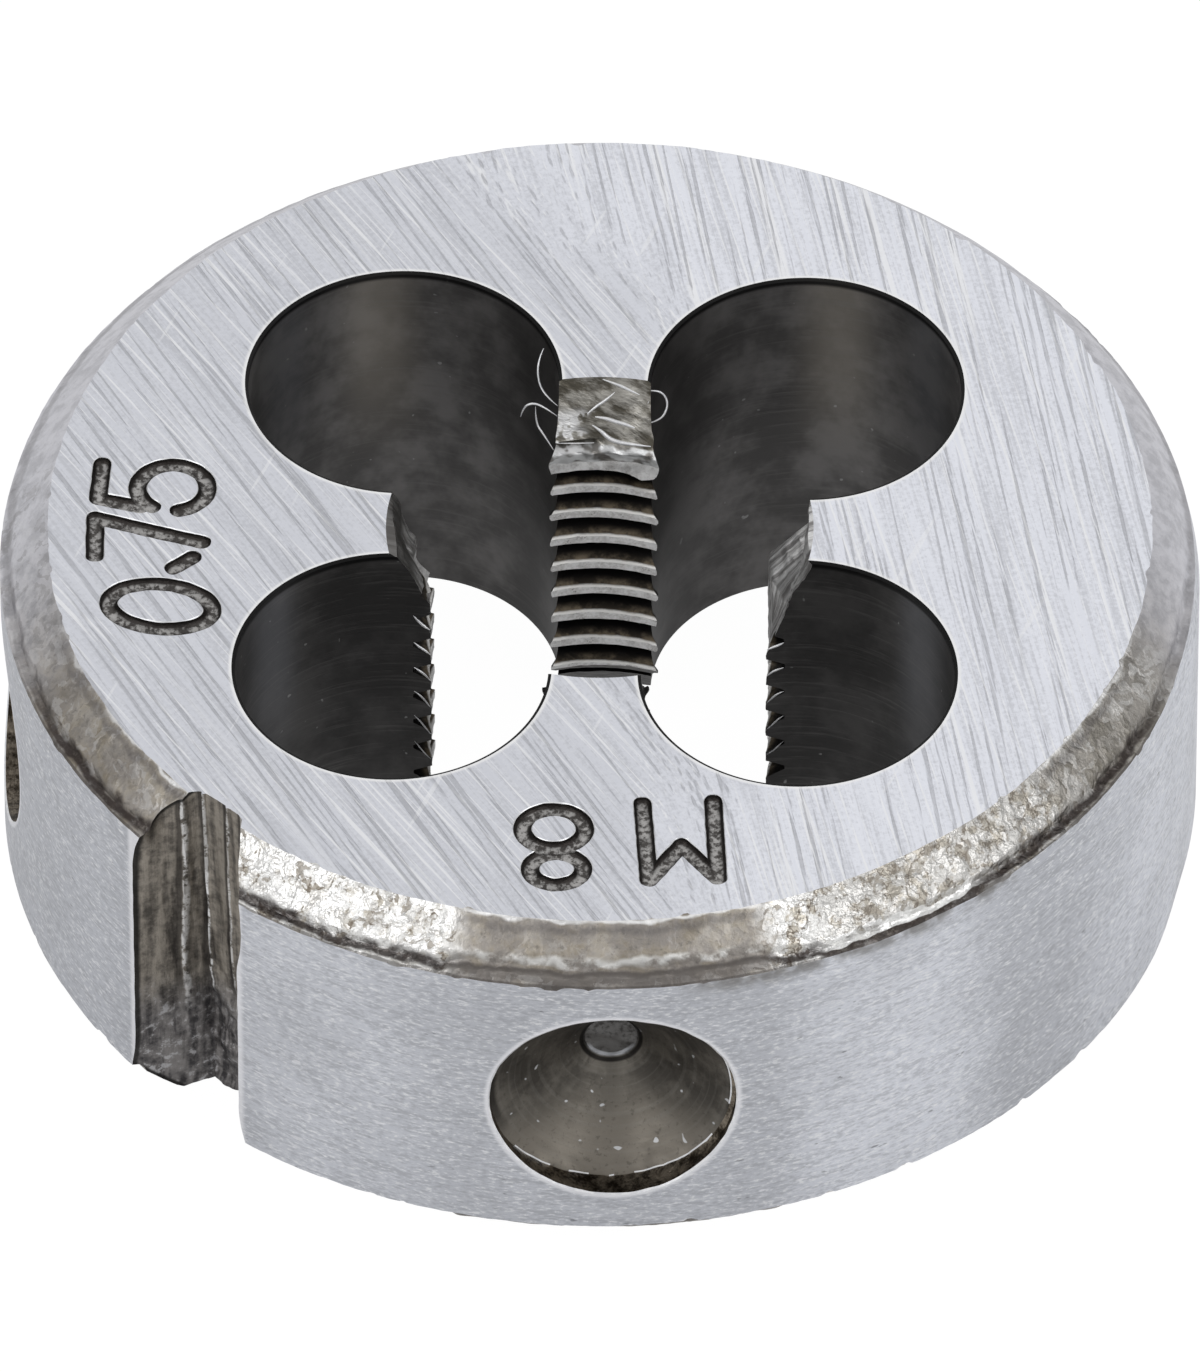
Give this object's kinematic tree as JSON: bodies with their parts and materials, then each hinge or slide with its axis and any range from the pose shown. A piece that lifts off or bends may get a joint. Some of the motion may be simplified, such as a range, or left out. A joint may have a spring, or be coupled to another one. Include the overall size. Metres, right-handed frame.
{
  "type": "round threading die",
  "caption": "Round one-piece threading die with a threaded bore, chip clearance holes, chamfered rims, an adjusting groove and conical screw seats.",
  "frame": {"origin": "centre of the back face, on the thread axis", "axes": "+Z along the thread axis towards the marked face; the cutting lands point along X and Y; the adjusting groove lies between -X and -Y"},
  "size_m": [0.025, 0.025, 0.009],
  "materials": {
    "tool_steel": "ground"
  },
  "bodies": {
    "root": {"die_body": "tool_steel"}
  },
  "joints": []
}
